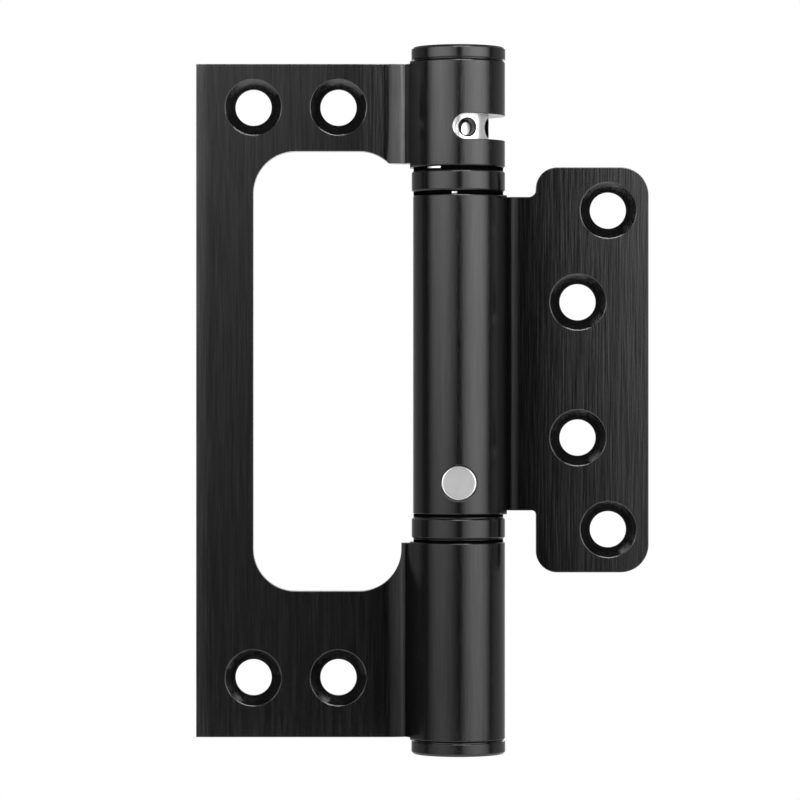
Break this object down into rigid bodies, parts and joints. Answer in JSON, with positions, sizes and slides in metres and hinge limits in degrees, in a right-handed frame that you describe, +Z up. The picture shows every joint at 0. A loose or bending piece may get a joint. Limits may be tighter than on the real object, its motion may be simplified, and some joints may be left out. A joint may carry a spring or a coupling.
{
  "type": "self-closing flush hinge",
  "caption": "Black steel flush hinge: a small door leaf folds into the window of a large frame leaf, with spring, thrust bearings and damper in its barrel.",
  "frame": {"origin": "on the pin axis, at half the height of the frame leaf", "axes": "+Z up along the pin towards the knuckle with the tension drum; +Y out of the leaves' back faces, so the countersunk faces look to -Y; +X towards the door leaf, with the frame leaf at -X"},
  "size_m": [0.084, 0.0174, 0.1312],
  "materials": {
    "black_plate": "satin black coating",
    "black_turned": "semi-gloss black coating",
    "bright_plating": "bright nickel plating",
    "bright_pin": "faced end, satin",
    "bearing_steel": "ground",
    "spring_steel": "oiled spring steel",
    "cage_plastic": "natural nylon",
    "bush_brass": "machined bronze",
    "damper_aluminium": "turned",
    "seal_rubber": "matt"
  },
  "bodies": {
    "frame": {"frame_leaf": "black_plate", "top_cap": "black_turned", "bottom_cap": "black_turned", "upper_knuckle_washer": "bearing_steel", "lower_knuckle_washer": "bearing_steel", "lower_bush": "bush_brass", "damper_body": "damper_aluminium", "damper_gland": "damper_aluminium", "damper_seal": "seal_rubber"},
    "door": {"door_leaf": "black_plate", "anchor_plug": "bearing_steel", "anchor_pin": "bright_pin", "upper_bush": "bush_brass", "upper_bearing_collar": "black_turned", "upper_collar_washer": "bearing_steel", "lower_bearing_collar": "black_turned", "lower_collar_washer": "bearing_steel", "damper_rotor": "bearing_steel", "torsion_spring": "spring_steel"},
    "drum": {"tension_drum": "bright_plating"},
    "upper_cage": {"upper_roller_cage": "cage_plastic", "upper_rollers": "bearing_steel"},
    "lower_cage": {"lower_roller_cage": "cage_plastic", "lower_rollers": "bearing_steel"}
  },
  "joints": [
    {"name": "leaf_swing", "type": "hinge", "parent": "frame", "child": "door", "pos_m": [0, 0, 0], "axis": [0, 0, -1], "range_deg": [0, 180], "deforming": ["torsion_spring"]},
    {"name": "drum_turn", "type": "hinge", "parent": "frame", "child": "drum", "pos_m": [0, 0, 0.05055], "axis": [0, 0, 1], "range_deg": [0, 300], "deforming": ["torsion_spring"]},
    {"name": "upper_cage_orbit", "type": "hinge", "parent": "frame", "child": "upper_cage", "pos_m": [0, 0, 0.0414], "axis": [0, 0, -1], "range_deg": [0, 90]},
    {"name": "lower_cage_orbit", "type": "hinge", "parent": "frame", "child": "lower_cage", "pos_m": [0, 0, -0.0244], "axis": [0, 0, -1], "range_deg": [0, 90]}
  ],
  "couplings": [
    {"joint": "upper_cage_orbit", "follows": "leaf_swing", "ratio": 0.5},
    {"joint": "lower_cage_orbit", "follows": "leaf_swing", "ratio": 0.5}
  ]
}
